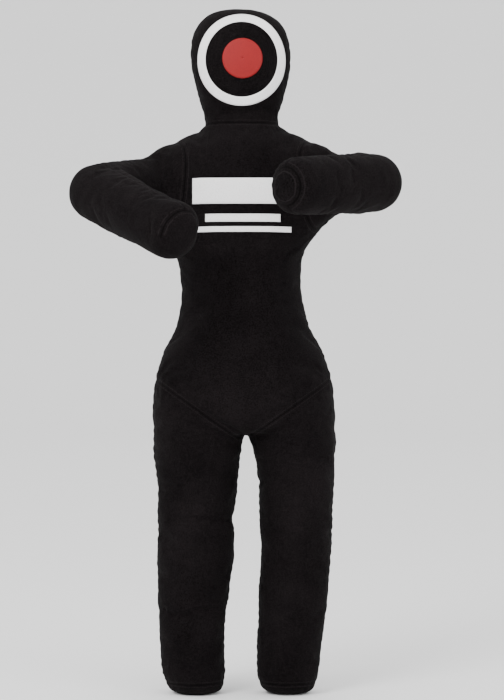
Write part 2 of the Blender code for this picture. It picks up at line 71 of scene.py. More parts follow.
def box_middle(node):
    low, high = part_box(node)
    return (Vector(low) + Vector(high)) / 2


# Places, all from the frame
WAIST = joint_place("waist_fold")
NECK = joint_place("neck_turn")
AXIS = Vector((WAIST.x, WAIST.y, 0.0))
SHOULDER = {side: joint_place("shoulder_" + side + "_raise") for side in SIDES}
ELBOW = {side: joint_place("elbow_" + side) for side in SIDES}
HAND_END = {side: box_middle("forearm_" + side + "_end_patch") for side in SIDES}
HIP = {side: joint_place("hip_" + side + "_swing") for side in SIDES}
KNEE = {side: joint_place("knee_" + side) for side in SIDES}
TARGET = box_middle("target_spot")

# Skin
RING_POINTS = 44
VOXEL = 0.0068
SMOOTHING = 7
FILLET_SMOOTHING = 26
HIP_FILLET = 0.055
SHOULDER_FILLET = 0.10
TORSO_ROUNDNESS = 2.35
HEAD_ROUNDNESS = 2.5
LEG_ROUNDNESS = 2.1
SHOULDER_RADIUS = 0.066
SHOULDER_DEPTH = 0.075
SHOULDER_CAP = 0.05
ELBOW_CAP = 0.001
ARM_RADIUS = 0.0625
HAND_RADIUS = 0.0600
HAND_CAP = 0.034
CAP_SHARES = (0.0, 0.45, 0.75, 0.93, 1.0)
FOOT_RADIUS = 0.066
# From LEG_RISE_Z up, over LEG_RISE_HEIGHT, the legs lean back and the added LEG_EASE fades out
LEG_RISE_Z = 0.40
LEG_RISE_HEIGHT = 0.20
LEG_LEAN = 0.016
LEG_EASE = 0.0022
# How far the skin's elbow hangs below its joint, and how far the hand goes past its patch
ELBOW_DROP = {"left": 0.000, "right": 0.007}
HAND_TIP = {"left": -0.008, "right": 0.000}

# Torso: height, half width, half depth, shift to the front, shift across
TORSO_ROWS = [
    (1.290, 0.068, 0.070, 0.000, 0.000),
    (1.262, 0.078, 0.078, 0.000, -0.002),
    (1.242, 0.105, 0.086, 0.000, 0.000),
    (1.224, 0.148, 0.096, 0.000, 0.001),
    (1.206, 0.197, 0.104, 0.000, 0.002),
    (1.190, 0.222, 0.110, 0.000, 0.002),
    (1.165, 0.234, 0.115, 0.000, 0.000),
    (1.130, 0.234, 0.117, 0.002, 0.000),
    (1.095, 0.222, 0.115, 0.004, 0.000),
    (1.061, 0.203, 0.112, 0.004, 0.000),
    (1.025, 0.170, 0.109, 0.003, -0.003),
    (0.989, 0.149, 0.107, 0.002, -0.007),
    (0.962, 0.140, 0.104, 0.000, -0.008),
    (0.938, 0.137, 0.103, 0.000, -0.006),
    (0.900, 0.134, 0.102, 0.000, -0.004),
    (0.864, 0.137, 0.104, 0.000, -0.002),
    (0.810, 0.151, 0.112, 0.000, -0.001),
    (0.757, 0.179, 0.122, 0.000, 0.000),
    (0.703, 0.196, 0.128, 0.001, 0.001),
    (0.650, 0.202, 0.122, 0.009, 0.002),
    (0.612, 0.204, 0.112, 0.018, 0.002),
    (0.592, 0.199, 0.100, 0.024, 0.002),
    (0.578, 0.179, 0.078, 0.028, 0.002),
]
# Head: height, half width, half depth, shift across
HEAD_ROWS = [
    (1.5190, 0.016, 0.015, -0.014),
    (1.5150, 0.043, 0.039, -0.013),
    (1.5070, 0.067, 0.059, -0.010),
    (1.4910, 0.088, 0.079, -0.007),
    (1.4730, 0.101, 0.091, -0.006),
    (1.4500, 0.109, 0.098, -0.006),
    (1.4190, 0.112, 0.101, -0.006),
    (1.3830, 0.109, 0.100, -0.005),
    (1.3480, 0.101, 0.095, -0.004),
    (1.3120, 0.091, 0.087, -0.004),
    (1.2860, 0.082, 0.080, -0.004),
    (1.2560, 0.079, 0.078, -0.003),
]
TARGET_SHIFT = -0.003
# The head's print: half width and half height of the ring's two edges, and the spot in it
RING_OUTER = (0.0965, 0.1015)
RING_INNER = (0.0790, 0.0825)
SPOT_SHIFT = (0.002, 0.001)
SPOT_RADIUS = 0.0440
PRINT_START = 0.16
PRINT_LIFT = 0.0009
PRINT_THICKNESS = 0.0007
# Legs: height, shift outwards from the hip's middle, radius
LEG_ROWS = {
    "right": [
        (0.705, -0.004, 0.0620),
        (0.680, -0.004, 0.0840),
        (0.645, -0.004, 0.0950),
        (0.600, -0.004, 0.0980),
        (0.560, -0.005, 0.0990),
        (0.524, -0.004, 0.0965),
        (0.488, -0.004, 0.0915),
        (0.452, -0.005, 0.0870),
        (0.410, -0.001, 0.0835),
        (0.384, 0.002, 0.0800),
        (0.350, -0.001, 0.0820),
        (0.300, -0.001, 0.0835),
        (0.255, 0.003, 0.0790),
        (0.205, 0.006, 0.0765),
        (0.184, 0.007, 0.0728),
        (0.150, 0.008, 0.0715),
        (0.112, 0.008, 0.0700),
        (0.045, 0.004, 0.0680),
        (0.022, 0.001, 0.0630),
        (0.008, -0.002, 0.0540),
        (0.001, -0.003, 0.0410),
    ],
    "left": [
        (0.705, 0.000, 0.0600),
        (0.680, 0.000, 0.0820),
        (0.645, 0.000, 0.0930),
        (0.600, 0.003, 0.0950),
        (0.560, 0.006, 0.0945),
        (0.524, 0.009, 0.0875),
        (0.470, 0.014, 0.0825),
        (0.398, 0.012, 0.0800),
        (0.327, 0.013, 0.0768),
        (0.255, 0.009, 0.0765),
        (0.219, 0.006, 0.0762),
        (0.165, 0.003, 0.0730),
        (0.112, -0.002, 0.0700),
        (0.060, -0.006, 0.0680),
        (0.030, -0.007, 0.0640),
        (0.011, -0.007, 0.0550),
        (0.001, -0.007, 0.0410),
    ],
}

# Sewing
HIP_SEAM_Z = 0.612
ARMPIT_Z = 0.99
LEG_TOP_Z = 0.76
LEG_FOLDS_TOP_Z = 0.75
SEAM_HOLD = 0.006
HAND_SEAM = 0.016
SOLE_SEAM_Z = 0.026
SIM_FRAMES = 20
MOST_PUFF = 0.007
PUCKER_LENGTH = 0.019
PUCKER_HEIGHT = 0.0007
GROOVE_DEPTH = 0.0009
GROOVE_WIDTH = 0.0040
RIPPLE_LENGTH = 0.028
RIPPLE_HEIGHT = 0.0010
RIPPLE_REACH = 0.085
TAPE_THICKNESS = 0.0013
FLOOR_GAP = 0.0003
TAPE_REACH = 0.017
TAPE_OVERRUN = 0.008
STITCH_OFF = 0.0050
STITCH_LENGTH = 0.0042
STITCH_SHARE = 0.68
THREAD_REACH = 0.0006
SEAM_GAP = 0.0011
TOOTH_PITCH = 0.0026
TOOTH_SIZE = (0.0046, 0.0020, 0.0011)
TOOTH_OFF = 0.0013
TOOTH_LIFT = 0.0009
# Folds in the front of the body: points across and up, depth, width
CREASES = [
    ([(-0.003, 0.577), (-0.011, 0.582), (-0.047, 0.600), (-0.103, 0.634)], 0.0050, 0.0065),
    ([(0.004, 0.577), (0.043, 0.579), (0.094, 0.595), (0.168, 0.617)], 0.0034, 0.0065),
    ([(-0.150, 0.560), (-0.110, 0.552), (-0.080, 0.556)], 0.0016, 0.0055),
    ([(0.120, 0.545), (0.150, 0.540), (0.185, 0.548)], 0.0016, 0.0050),
    ([(0.060, 0.512), (0.100, 0.505), (0.150, 0.512)], 0.0013, 0.0050),
    ([(-0.185, 0.470), (-0.150, 0.462), (-0.120, 0.466)], 0.0015, 0.0050),
]

# Where the skin passes from one body to the next, as distances from each fold's middle
NECK_SPLIT_Z = NECK.z - 0.004
WAIST_SPLIT_Z = WAIST.z + 0.062
SHOULDER_STEPS = (-0.018, 0.015, 0.051)
ELBOW_REACH = 0.030
HIP_STEPS = (-0.018, 0.022, 0.090)
LEG_SPLIT = 0.078
# A reach past everything, for a cut that goes right round
WHOLE = 5.0


def arm_directions(side):
    upper = (ELBOW[side] - SHOULDER[side]).normalized()
    lower = (HAND_END[side] - ELBOW[side]).normalized()
    return upper, lower, (upper + lower).normalized()


def shoulder_direction(side):
    return Vector((0.92 * SIDES[side], -0.40, 0.08)).normalized()


def hip_direction(side):
    return Vector((0.57 * SIDES[side], 0.0, -0.82)).normalized()


# Closed forms that the skin is grown from


def rounded(half_u, half_v, roundness):
    points = []
    for step in range(RING_POINTS):
        angle = 2 * math.pi * step / RING_POINTS
        u = math.copysign(abs(math.cos(angle)) ** (2 / roundness), math.cos(angle))
        v = math.copysign(abs(math.sin(angle)) ** (2 / roundness), math.sin(angle))
        points.append((half_u * u, half_v * v))
    return points


def add_loft(work, rings):
    """Rings of (middle, u, v, half u, half v, roundness), closed at both ends."""
    made = []
    for middle, u, v, half_u, half_v, roundness in rings:
        ring = [middle + u * a + v * b for a, b in rounded(half_u, half_v, roundness)]
        made.append([work.verts.new(point) for point in ring])
    for first, second in zip(made, made[1:]):
        for step in range(RING_POINTS):
            after = (step + 1) % RING_POINTS
            work.faces.new((first[step], second[step], second[after], first[after]))
    work.faces.new(made[0])
    work.faces.new(reversed(made[-1]))


def torso_rings():
    rings = []
    for z, half_width, half_depth, forward, across in TORSO_ROWS:
        middle = Vector((AXIS.x + across, AXIS.y - forward, z))
        rings.append((middle, ACROSS, DEEP, half_width, half_depth, TORSO_ROUNDNESS))
    return rings


def head_rings():
    rings = []
    for z, half_width, half_depth, across in HEAD_ROWS:
        middle = Vector((AXIS.x + across, AXIS.y, z))
        rings.append((middle, ACROSS, DEEP, half_width, half_depth, HEAD_ROUNDNESS))
    return rings


def leg_rings(side):
    rings = []
    for z, outward, radius in LEG_ROWS[side]:
        rise = min(1.0, max(0.0, (z - LEG_RISE_Z) / LEG_RISE_HEIGHT))
        rise *= rise * (3 - 2 * rise)
        place = (HIP[side].x + SIDES[side] * outward, HIP[side].y + LEG_LEAN * rise, z)
        radius += LEG_EASE * (1.0 - rise)
        half_depth = radius * (0.99 + 0.07 * rise)
        rings.append((Vector(place), ACROSS, DEEP, radius, half_depth, LEG_ROUNDNESS))
    return rings


def tube_rings(start, end, first, last, start_cap, end_cap):
    """A tube whose ends round over within start_cap and end_cap of them."""
    along = (end - start).normalized()
    u = along.cross(UP).normalized()
    v = along.cross(u)
    length = (end - start).length
    stations = []
    for share in reversed(CAP_SHARES):
        stations.append((start_cap * (1 - share), math.sqrt(1 - (0.97 * share) ** 2)))
    for part in (0.35, 0.5, 0.65):
        stations.append((length * part, 1.0))
    for share in CAP_SHARES:
        scale = math.sqrt(1 - (0.90 * share) ** 2) if end_cap else 1.0
        stations.append((length - end_cap * (1 - share), scale))
    rings = []
    for distance, scale in stations:
        radius = first + (last - first) * distance / length
        rings.append((start + along * distance, u, v, radius * scale, radius * scale, 2.0))
    return rings


def add_ball(work, centre, radius):
    matrix = Matrix.Translation(centre)
    bmesh.ops.create_uvsphere(work, u_segments=32, v_segments=20, radius=radius, matrix=matrix)


def grown_body():
    """All the forms in one mesh, one inside the other where they meet."""
    work = bmesh.new()
    add_loft(work, torso_rings())
    add_loft(work, head_rings())
    for side in SIDES:
        add_loft(work, leg_rings(side))
        upper, lower, _ = arm_directions(side)
        root = SHOULDER[side] - upper * SHOULDER_DEPTH
        bend = ELBOW[side] - UP * ELBOW_DROP[side]
        add_loft(work, tube_rings(root, bend, SHOULDER_RADIUS, ARM_RADIUS, SHOULDER_CAP, 0.0))
        tip = HAND_END[side] + lower * HAND_TIP[side]
        add_loft(work, tube_rings(bend, tip, ARM_RADIUS, HAND_RADIUS, ELBOW_CAP, HAND_CAP))
        add_ball(work, bend, ARM_RADIUS * 0.99)
    bmesh.ops.recalc_face_normals(work, faces=work.faces)
    mesh = bpy.data.meshes.new("grown")
    work.to_mesh(mesh)
    work.free()
    obj = bpy.data.objects.new("grown", mesh)
    bpy.context.scene.collection.objects.link(obj)
    return obj


def applied(obj):
    """Applies the object's modifiers to a fresh mesh."""
    bpy.context.view_layer.update()
    graph = bpy.context.evaluated_depsgraph_get()
    mesh = bpy.data.meshes.new_from_object(obj.evaluated_get(graph))
    obj.modifiers.clear()
    obj.data = mesh
    return obj


def points_of(mesh):
    flat = np.empty(len(mesh.vertices) * 3)
    mesh.vertices.foreach_get("co", flat)
    return flat.reshape(-1, 3)


def normals_of(mesh):
    flat = np.empty(len(mesh.vertices) * 3)
    mesh.vertex_normals.foreach_get("vector", flat)
    return flat.reshape(-1, 3)


def moved(mesh, points):
    mesh.vertices.foreach_set("co", np.ascontiguousarray(points).reshape(-1))
    mesh.update()


def bump_at(values, middle, width):
    return np.exp(-(((values - middle) / width) ** 2))


def fading(distances, reach):
    """Nearly 1 within the reach, and soon 0 past it."""
    return np.exp(-((distances / reach) ** 4))


def vertex_weights(obj, name, weights):
    """A vertex group with the weights in 20 steps."""
    group = obj.vertex_groups.new(name=name)
    steps = np.round(np.clip(weights, 0, 1) * 20).astype(int)
    for step in range(1, 21):
        chosen = np.nonzero(steps == step)[0]
        if len(chosen):
            group.add(chosen.tolist(), step / 20, "REPLACE")
    return group


def remeshed(obj):
    """One closed skin over the forms, filleted most where the limbs join the torso."""
    remesh = obj.modifiers.new("remesh", "REMESH")
    remesh.mode = "VOXEL"
    remesh.voxel_size = VOXEL
    smooth = obj.modifiers.new("smooth", "SMOOTH")
    smooth.factor = 0.5
    smooth.iterations = SMOOTHING
    applied(obj)
    points = points_of(obj.data)
    fillet = bump_at(points[:, 2], HIP_SEAM_Z, HIP_FILLET) * (points[:, 1] > AXIS.y - 0.06)
    for side in SIDES:
        reach = points - np.array(SHOULDER[side] + Vector((0.0, -0.03, 0.0)))
        fillet += 0.9 * fading(np.linalg.norm(reach, axis=1), SHOULDER_FILLET)
    vertex_weights(obj, "fillet", fillet)
    smooth = obj.modifiers.new("fillets", "SMOOTH")
    smooth.factor = 0.5
    smooth.iterations = FILLET_SMOOTHING
    smooth.vertex_group = "fillet"
    return applied(obj)


# Seams, as signed distances from each point of the skin


class Seams:
    """The nearest seam of each point: signed distance from it, and the run along it."""

    def __init__(self, count):
        self.off = np.full(count, 1.0)
        self.run = np.zeros(count)

    def offer(self, off, run, where):
        closer = where & (np.abs(off) < np.abs(self.off))
        self.off[closer] = off[closer]
        self.run[closer] = run[closer]


def arm_seams(seams, points, side):
    """The armhole, the lengthwise seams and the hand's patch. It gives the arm's own points."""
    x, y, z = (points - np.array(AXIS)).T
    half = x * SIDES[side] > 0.03
    towards = np.array(shoulder_direction(side))
    reach = (points - np.array(SHOULDER[side])) @ towards - SHOULDER_STEPS[0]
    round_arm = np.abs(y) + np.abs(z - SHOULDER[side].z)
    seams.offer(reach, round_arm, half & (z > 1.0) & (y > -0.17) & (y < 0.15))
    arm = half & (z > ARMPIT_Z) & (reach > 0)
    upper, lower, bend = arm_directions(side)
    from_elbow = points - np.array(ELBOW[side])
    beyond = from_elbow @ np.array(bend) > 0
    hand = (HAND_END[side] - ELBOW[side]).length - HAND_SEAM
    for direction, chosen in ((upper, ~beyond), (lower, beyond)):
        run = from_elbow @ np.array(direction)
        across = np.array(direction.cross(UP).normalized())
        seams.offer(from_elbow @ across, run, arm & chosen & (run < hand))
    turn = np.arctan2(from_elbow[:, 2], from_elbow @ across) * HAND_RADIUS
    seams.offer(run - hand, turn, arm & beyond)
    return arm


def leg_seams(seams, points, side, arms):
    """The seam round the top of the leg, the lengthwise ones and the sole's patch."""
    x, y, z = (points - np.array(AXIS)).T
    half = x * SIDES[side] > 0
    down = np.array(hip_direction(side))
    level = (points - np.array(HIP[side])) @ down - HIP_STEPS[0]
    seams.offer(level, x, ~arms & half & (z > 0.50) & (z < LEG_TOP_Z))
    leg = half & (level > 0) & (z < LEG_TOP_Z)
    seams.offer(points[:, 1] - HIP[side].y, z, leg & (z > SOLE_SEAM_Z))
    from_middle = points - np.array(HIP[side])
    turn = np.arctan2(from_middle[:, 1], from_middle[:, 0]) * FOOT_RADIUS
    seams.offer(z - SOLE_SEAM_Z, turn, leg)
    return half & (level <= 0)


def seam_fields(points):
    """For each point: distance off the nearest seam, run along it, and whether it is on an arm."""
    x, y, z = (points - np.array(AXIS)).T
    seams = Seams(len(points))
    arms = np.zeros(len(points), bool)
    for side in SIDES:
        arm = arm_seams(seams, points, side)
        arms |= arm
        above = leg_seams(seams, points, side, arms)
        seams.offer(y, np.where(np.abs(x) > 0.05, z, x), above & ~arm)
    seams.offer(z - NECK.z, x + y, (z > 1.2) & (z < 1.32))
    return seams.off, seams.run, arms


def puffed(obj):
    """Stuffing pressure against the seams, as cloth."""
    rest = points_of(obj.data)
    nearest, _, _ = seam_fields(rest)
    vertex_weights(obj, "seams", bump_at(nearest, 0.0, SEAM_HOLD))
    cloth = obj.modifiers.new("cloth", "CLOTH")
    settings = cloth.settings
    settings.quality = 4
    settings.mass = 0.35
    settings.tension_stiffness = settings.compression_stiffness = 12.0
    settings.shear_stiffness = 4.0
    settings.bending_stiffness = 0.35
    settings.use_pressure = True
    settings.uniform_pressure_force = 4.0
    settings.shrink_min = -0.022
    settings.vertex_group_mass = "seams"
    settings.pin_stiffness = 1.0
    settings.effector_weights.gravity = 0.0
    cloth.collision_settings.use_collision = False
    cloth.collision_settings.use_self_collision = False
    scene = bpy.context.scene
    for frame_number in range(1, SIM_FRAMES + 1):
        scene.frame_set(frame_number)
    applied(obj)
    scene.frame_set(1)
    shift = points_of(obj.data) - rest
    size = np.linalg.norm(shift, axis=1)
    shift *= (np.minimum(size, MOST_PUFF) / np.maximum(size, 1e-9))[:, None]
    moved(obj.data, rest + shift)


def sewn(obj):
    """The stuffed skin, once finer, with the folds that stay in the fabric."""
    puffed(obj)
    fine = obj.modifiers.new("fine", "SUBSURF")
    fine.levels = fine.render_levels = 1
    applied(obj)
    folded(obj)
    return obj


def line_distance(x, z, line):
    """Distance in the front view from a line of points, and the share of its length reached."""
    best = np.full(len(x), 1.0)
    share = np.zeros(len(x))
    for number, (start, end) in enumerate(zip(line, line[1:])):
        run = np.array(end) - np.array(start)
        at = ((x - start[0]) * run[0] + (z - start[1]) * run[1]) / (run @ run)
        clipped = np.clip(at, 0, 1)
        away = np.hypot(x - start[0] - clipped * run[0], z - start[1] - clipped * run[1])
        closer = away < best
        best[closer] = away[closer]
        share[closer] = (number + clipped[closer]) / (len(line) - 1)
    return best, share


def noise_at(points, scale, seed):
    scaled = points * np.array(scale) + seed
    return np.array([noise.noise(point) for point in scaled])


def lumps(points):
    """The stuffing's unevenness."""
    coarse = 0.0016 * noise_at(points, (9.0,) * 3, 3.7)
    return coarse + 0.0009 * noise_at(points, (26.0,) * 3, 11.3)


def patches(points):
    """Where the fabric is gathered, from 0 to 1."""
    return np.clip(0.5 + 1.6 * noise_at(points, (7.0,) * 3, 6.4), 0.0, 1.0)


def puckers(points, nearest, along, z, gathered):
    """Gathers beside each seam, and the seam's own groove. The head is sewn flatter."""
    on_head = np.clip((z - 1.24) / 0.05, 0, 1)
    wander = 3.0 * noise_at(points, (14.0,) * 3, 5.1)
    wave = np.sin(along * 2 * math.pi / PUCKER_LENGTH + wander)
    beside = bump_at(np.abs(nearest), 0.012, 0.011)
    gathers = PUCKER_HEIGHT * gathered * wave * beside * (1 - 0.6 * on_head)
    return gathers - GROOVE_DEPTH * (1 - 0.5 * on_head) * bump_at(nearest, 0.0, GROOVE_WIDTH)


def cross_folds(points, x, z):
    """Folds across the legs and the sides of the waist."""
    cross = noise_at(points, (5.0, 5.0, 34.0), 8.8)
    legs = bump_at(z, 0.53, 0.055) + bump_at(z, 0.37, 0.050) + 0.6 * bump_at(z, 0.11, 0.04)
    lift = 0.0024 * cross * legs * (z < LEG_FOLDS_TOP_Z)
    return lift + 0.0018 * cross * bump_at(z, 0.92, 0.07) * (np.abs(x) > 0.05)


def elbow_ripples(points, side, gathered):
    """Fine folds across the arm at the elbow."""
    from_elbow = points - np.array(ELBOW[side])
    run = from_elbow @ np.array(arm_directions(side)[2])
    wander = 4.0 * noise_at(points, (12.0,) * 3, 2.2)
    ripple = np.sin(run * 2 * math.pi / RIPPLE_LENGTH + wander)
    near = fading(np.linalg.norm(from_elbow, axis=1), RIPPLE_REACH)
    return RIPPLE_HEIGHT * gathered * ripple * near


def creased(x, z, line, depth, width):
    """One fold along the line: a groove that tapers off, between two soft lips."""
    away, share = line_distance(x, z, line)
    taper = np.sin(np.clip(0.12 + 0.88 * share, 0, 1) * math.pi) ** 0.6
    groove = depth * bump_at(away, 0.0, width)
    lips = 0.45 * depth * bump_at(away, 2.2 * width, 1.3 * width)
    return (lips - groove) * taper


def folded(obj):
    """Moves the skin out and in along its normals, and lays it down on the floor and the zip."""
    points, normals = points_of(obj.data), normals_of(obj.data)
    x, y, z = (points - np.array(AXIS)).T
    nearest, along, arms = seam_fields(points)
    gathered = patches(points)
    lift = lumps(points) + puckers(points, nearest, along, z, gathered)
    lift += cross_folds(points, x, z)
    for side in SIDES:
        lift += elbow_ripples(points, side, gathered) * arms
    for line, depth, width in CREASES:
        lift += creased(x, z, line, depth, width) * (y < 0.0) * ~arms
    points = points + normals * lift[:, None]
    points[:, 2] = np.maximum(points[:, 2], FLOOR_GAP)
    moved(obj.data, under_zip(points))


def under_zip(points):
    """Lays the fabric flat under the zip's tapes."""
    top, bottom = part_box("zip_top_stop"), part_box("zip_bottom_stop")
    slope = (top[0].y - bottom[0].y) / (top[0].z - bottom[0].z)
    x, y, z = points[:, 0] - AXIS.x, points[:, 1], points[:, 2]
    plane = bottom[0].y + slope * (z - bottom[0].z) - TAPE_THICKNESS
    low, high = bottom[0].z - TAPE_OVERRUN, top[1].z + TAPE_OVERRUN
    away = np.maximum(np.maximum(low - z, z - high), 0.0)
    away = np.hypot(away, np.maximum(np.abs(x) - TAPE_REACH, 0.0))
    share = bump_at(away, 0.0, 0.016) * (y > AXIS.y + 0.05)
    points[:, 1] += share * (plane - y)
    return points


def mark_seams(mesh):
    """What the canvas material reads: distance to the seam, and the run along it."""
    nearest, along, _ = seam_fields(points_of(mesh))
    for name, values in (("seam_off", nearest), ("seam_run", along)):
        layer = mesh.attributes.new(name, "FLOAT", "POINT")
        layer.data.foreach_set("value", np.ascontiguousarray(values, dtype=np.float32))


# Splitting the skin where it is wholly on one body


def face_in(face, low, high):
    middle = face.calc_center_median()
    return all(low[axis] <= middle[axis] <= high[axis] for axis in range(3))


def cut(work, place, direction, low, high):
    """Parts the skin along the plane, within the box only."""
    faces = [face for face in work.faces if face_in(face, low, high)]
    geometry = set(faces)
    for face in faces:
        geometry.update(face.edges)
        geometry.update(face.verts)
    made = bmesh.ops.bisect_plane(
        work, geom=list(geometry), plane_co=place, plane_no=direction, dist=1e-6
    )["geom_cut"]
    edges = [item for item in made if isinstance(item, bmesh.types.BMEdge)]
    bmesh.ops.split_edges(work, edges=edges)


def around(place, reach):
    return tuple(place[axis] - reach[axis] for axis in range(3)), tuple(
        place[axis] + reach[axis] for axis in range(3)
    )


def cut_everywhere(work):
    for side, sign in SIDES.items():
        place, direction = SHOULDER[side], shoulder_direction(side)
        low, high = around(place, (0.150, 0.165, 0.133))
        if sign > 0:
            low = (AXIS.x + 0.045, low[1], low[2])
        else:
            high = (AXIS.x - 0.045, high[1], high[2])
        for distance in SHOULDER_STEPS[:2]:
            cut(work, place + direction * distance, direction, low, high)
        bend = arm_directions(side)[2]
        low, high = around(ELBOW[side] - bend * 0.06, (0.13, 0.13, 0.12))
        cut(work, ELBOW[side] - bend * (ELBOW_REACH + 0.002), bend, low, high)
    cut(work, UP * NECK_SPLIT_Z, UP, (-WHOLE,) * 3, (WHOLE,) * 3)
    low = (AXIS.x - 0.20, AXIS.y - 0.15, WAIST_SPLIT_Z - 0.03)
    high = (AXIS.x + 0.20, AXIS.y + 0.2, WAIST_SPLIT_Z + 0.03)
    cut(work, UP * WAIST_SPLIT_Z, UP, low, high)
    for side, sign in SIDES.items():
        low = (AXIS.x if sign > 0 else -1.0, -1.0, 0.3)
        high = (1.0 if sign > 0 else AXIS.x, 1.0, 0.80)
        for distance in HIP_STEPS[:2]:
            place = HIP[side] + hip_direction(side) * distance
            cut(work, place, hip_direction(side), low, high)
        cut(work, KNEE[side] + UP * LEG_SPLIT, UP, low, high)


def islands(work):
    work.faces.ensure_lookup_table()
    label = {}
    count = 0
    for seed in work.faces:
        if seed in label:
            continue
        label[seed] = count
        stack = [seed]
        while stack:
            face = stack.pop()
            for edge in face.edges:
                for other in edge.link_faces:
                    if other not in label:
                        label[other] = count
                        stack.append(other)
        count += 1
    return label, count


def seeds():
    """A point near the middle of each piece of the skin."""
    found = {
        "skin_head": Vector((AXIS.x, AXIS.y - 0.1, NECK.z + 0.14)),
        "skin_chest": Vector((AXIS.x, AXIS.y + 0.12, NECK.z - 0.15)),
        "skin_hips": Vector((AXIS.x, AXIS.y - 0.12, WAIST.z - 0.15)),
    }
    for side, sign in SIDES.items():
        towards = shoulder_direction(side)
        middle = (SHOULDER_STEPS[0] + SHOULDER_STEPS[1]) / 2
        outer = SHOULDER[side] + Vector((0, 0, 0.06))
        found["skin_shoulder_" + side] = outer + towards * middle
        found["skin_upper_arm_" + side] = outer + arm_directions(side)[0] * 0.09
        found["skin_forearm_" + side] = (ELBOW[side] + HAND_END[side]) / 2 + Vector((0, 0, 0.06))
        down = hip_direction(side)
        front = Vector((0, -0.10, 0))
        found["skin_hip_" + side] = HIP[side] + front + down * (sum(HIP_STEPS[:2]) / 2)
        found["skin_thigh_" + side] = HIP[side] + front + Vector((0, 0, -0.10))
        found["skin_shin_" + side] = KNEE[side] + front * 0.8 + Vector((0, 0, -0.10))
    return found


def split_skin(skin):
    """The skin's pieces as objects, each keeping the whole skin's smooth normals."""
    work = bmesh.new()
    work.from_mesh(skin.data)
    layer = work.verts.layers.float_vector.new("whole_normal")
    work.normal_update()
    for vertex in work.verts:
        vertex[layer] = vertex.normal
    cut_everywhere(work)
    label, count = islands(work)
    named = {}
    for name, point in seeds().items():
        nearest = min(work.faces, key=lambda face: (face.calc_center_median() - point).length)
        named[name] = label[nearest]
    if count != len(named) or len(set(named.values())) != len(named):
        sizes = [0] * count
        for number in label.values():
            sizes[number] += 1
        raise RuntimeError("the skin parted wrongly: " + str((count, sizes, named)))
    pieces = {}
    for name, number in named.items():
        pieces[name] = island_object(work, label, number, name, layer)
    work.free()
    bpy.data.objects.remove(skin)
    return pieces


def island_object(work, label, number, name, layer):
    faces = [face for face in work.faces if label[face] == number]
    index = {}
    points, normals, loops = [], [], []
    for face in faces:
        corners = []
        for vertex in face.verts:
            if vertex not in index:
                index[vertex] = len(points)
                points.append(vertex.co[:])
                normals.append(Vector(vertex[layer]).normalized()[:])
            corners.append(index[vertex])
        loops.append(corners)
    mesh = bpy.data.meshes.new(name)
    mesh.from_pydata(points, [], loops)
    mesh.validate()
    mesh.shade_smooth()
    mesh.normals_split_custom_set_from_vertices(normals)
    obj = bpy.data.objects.new(name, mesh)
    bpy.context.scene.collection.objects.link(obj)
    return obj


def attach(pieces):
    """Bakes each piece's place into its mesh, and hides the frame's parts that it covers."""

    def level(z):
        return Vector((AXIS.x, AXIS.y, z))

    def panels(node, sides):
        return [node + "_stuffing"] + [node + "_" + side + "_panel" for side in sides]

    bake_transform(pieces["skin_head"])
    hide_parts(*panels("head", ("front", "back")))
    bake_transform(pieces["skin_chest"])
    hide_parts("neck_stuffing", *panels("chest", ("front", "back")))
    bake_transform(pieces["skin_hips"])
    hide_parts(*panels("pelvis", ("front", "back")))
    for side in SIDES:
        shoulder, upper = "shoulder_" + side, "upper_arm_" + side
        forearm, hip = "forearm_" + side, "hip_" + side
        thigh, shin = "thigh_" + side, "shin_" + side
        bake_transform(pieces["skin_" + shoulder])
        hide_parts(shoulder + "_stuffing")
        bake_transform(pieces["skin_" + upper])
        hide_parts(*panels(upper, ("outer", "inner")))
        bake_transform(pieces["skin_" + forearm])
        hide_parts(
            forearm + "_end_patch", *panels(forearm, ("outer", "inner"))
        )
        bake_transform(pieces["skin_" + hip])
        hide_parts(hip + "_stuffing")
        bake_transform(pieces["skin_" + thigh])
        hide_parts(*panels(thigh, ("front", "back")))
        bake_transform(pieces["skin_" + shin])
        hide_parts(shin + "_end_patch", *panels(shin, ("front", "back")))


# Materials


def new_material(name):
    made = bpy.data.materials.new(name)
    made.use_nodes = True
    nodes, links = made.node_tree.nodes, made.node_tree.links
    return made, nodes, links, nodes["Principled BSDF"]


def node(nodes, kind, **values):
    made = nodes.new(kind)
    for name, value in values.items():
        if hasattr(made, name) and name not in made.inputs:
            setattr(made, name, value)
        else:
            made.inputs[name].default_value = value
    return made


